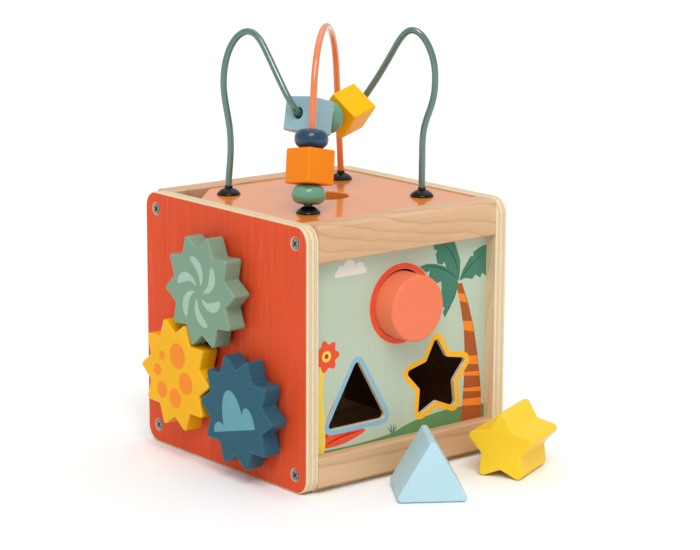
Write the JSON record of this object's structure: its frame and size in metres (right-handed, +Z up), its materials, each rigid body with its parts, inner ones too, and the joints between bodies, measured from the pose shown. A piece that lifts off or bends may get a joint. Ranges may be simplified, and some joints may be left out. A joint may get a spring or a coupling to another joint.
{
  "type": "wooden activity cube",
  "caption": "Wooden activity cube with a lift-off bead-maze lid, meshed turning gears on one side and a shape sorter with loose blocks on the front.",
  "frame": {"origin": "middle of the base panel's underside, on the floor", "axes": "+Z up; the shape-sorter face looks along -Y; the gear face looks along -X"},
  "size_m": [0.1744, 0.2247, 0.2651],
  "materials": {
    "birch_ply": "satin",
    "rail_wood": "satin",
    "plain_ply": "satin",
    "red_print": "satin",
    "sky_print": "satin",
    "lid_lacquer": "gloss",
    "green_lacquer": "gloss",
    "yellow_lacquer": "gloss",
    "navy_lacquer": "gloss",
    "bead_green": "gloss",
    "bead_orange": "gloss",
    "bead_navy": "gloss",
    "bead_pale_blue": "gloss",
    "bead_yellow": "gloss",
    "coral_paint": "satin",
    "pale_blue_paint": "satin",
    "star_yellow_paint": "satin",
    "green_enamel": "gloss",
    "orange_enamel": "gloss",
    "screw_steel": "satin",
    "black_cap": "gloss"
  },
  "bodies": {
    "cube": {"side_panel_left": "red_print", "side_panel_right": "birch_ply", "front_top_rail": "rail_wood", "front_bottom_rail": "rail_wood", "back_top_rail": "rail_wood", "back_bottom_rail": "rail_wood", "front_panel": "sky_print", "back_panel": "plain_ply", "base_panel": "plain_ply", "ledge_left": "plain_ply", "ledge_right": "plain_ply", "panel_screws_left": "screw_steel", "panel_screws_right": "screw_steel"},
    "lid": {"lid": "lid_lacquer", "green_wire": "green_enamel", "orange_wire": "orange_enamel", "wire_caps": "black_cap"},
    "green_gear": {"green_gear": "green_lacquer", "green_axle": "rail_wood", "green_spacer": "rail_wood", "green_washer": "screw_steel", "green_screw": "screw_steel"},
    "yellow_gear": {"yellow_gear": "yellow_lacquer", "yellow_axle": "rail_wood", "yellow_spacer": "rail_wood", "yellow_washer": "screw_steel", "yellow_screw": "screw_steel"},
    "blue_gear": {"blue_gear": "navy_lacquer", "blue_axle": "rail_wood", "blue_spacer": "rail_wood", "blue_washer": "screw_steel", "blue_screw": "screw_steel"},
    "stack_green_disc": {"stack_green_disc": "bead_green"},
    "stack_orange_cube": {"stack_orange_cube": "bead_orange"},
    "stack_blue_disc": {"stack_blue_disc": "bead_navy"},
    "dip_blue_cube": {"dip_blue_cube": "bead_pale_blue"},
    "dip_green_disc": {"dip_green_disc": "bead_green"},
    "dip_yellow_cube": {"dip_yellow_cube": "bead_yellow"},
    "round_block": {"round_block": "coral_paint"},
    "triangle_block": {"triangle_block": "pale_blue_paint"},
    "star_block": {"star_block": "star_yellow_paint"}
  },
  "joints": [
    {"name": "yellow_gear_spin", "type": "hinge", "parent": "cube", "child": "yellow_gear", "pos_m": [-0.0875, 0.031, 0.0535], "axis": [1, 0, 0], "continuous": true},
    {"name": "green_gear_spin", "type": "hinge", "parent": "cube", "child": "green_gear", "pos_m": [-0.0875, 0.00459, 0.11014], "axis": [1, 0, 0], "continuous": true},
    {"name": "blue_gear_spin", "type": "hinge", "parent": "cube", "child": "blue_gear", "pos_m": [-0.0875, -0.03061, 0.04297], "axis": [1, 0, 0], "continuous": true},
    {"name": "lid_lift", "type": "slide", "parent": "cube", "child": "lid", "axis": [0, 0, 1], "range_m": [0, 0.12]},
    {"name": "green_disc_slide", "type": "slide", "parent": "lid", "child": "stack_green_disc", "axis": [0.2038, 0.1784, 0.9626], "range_m": [0, 0.006]},
    {"name": "orange_cube_slide", "type": "slide", "parent": "stack_green_disc", "child": "stack_orange_cube", "axis": [0.2038, 0.1784, 0.9626], "range_m": [0, 0.007]},
    {"name": "blue_disc_slide", "type": "slide", "parent": "stack_orange_cube", "child": "stack_blue_disc", "axis": [0.2038, 0.1784, 0.9626], "range_m": [0, 0.008]},
    {"name": "blue_cube_spin", "type": "hinge", "parent": "lid", "child": "dip_blue_cube", "pos_m": [-0.01813, -0.00638, 0.21076], "axis": [0.947, 0.1755, -0.2689], "continuous": true},
    {"name": "green_disc_spin", "type": "hinge", "parent": "lid", "child": "dip_green_disc", "pos_m": [-0.0001, -0.00303, 0.20802], "axis": [0.983, 0.1822, -0.0244], "continuous": true},
    {"name": "yellow_cube_spin", "type": "hinge", "parent": "lid", "child": "dip_yellow_cube", "pos_m": [0.01804, 0.00033, 0.20986], "axis": [0.9588, 0.1777, 0.2215], "continuous": true},
    {"name": "round_block_push", "type": "slide", "parent": "cube", "child": "round_block", "axis": [0, -1, 0], "range_m": [-0.035, 0.06]},
    {"name": "triangle_block_lift", "type": "slide", "parent": "cube", "child": "triangle_block", "axis": [0, 0, 1], "range_m": [0, 0.03]},
    {"name": "star_block_lift", "type": "slide", "parent": "cube", "child": "star_block", "axis": [0, 0, 1], "range_m": [0, 0.03]}
  ],
  "couplings": [
    {"joint": "green_gear_spin", "follows": "yellow_gear_spin", "ratio": -1},
    {"joint": "blue_gear_spin", "follows": "yellow_gear_spin", "ratio": -1}
  ]
}
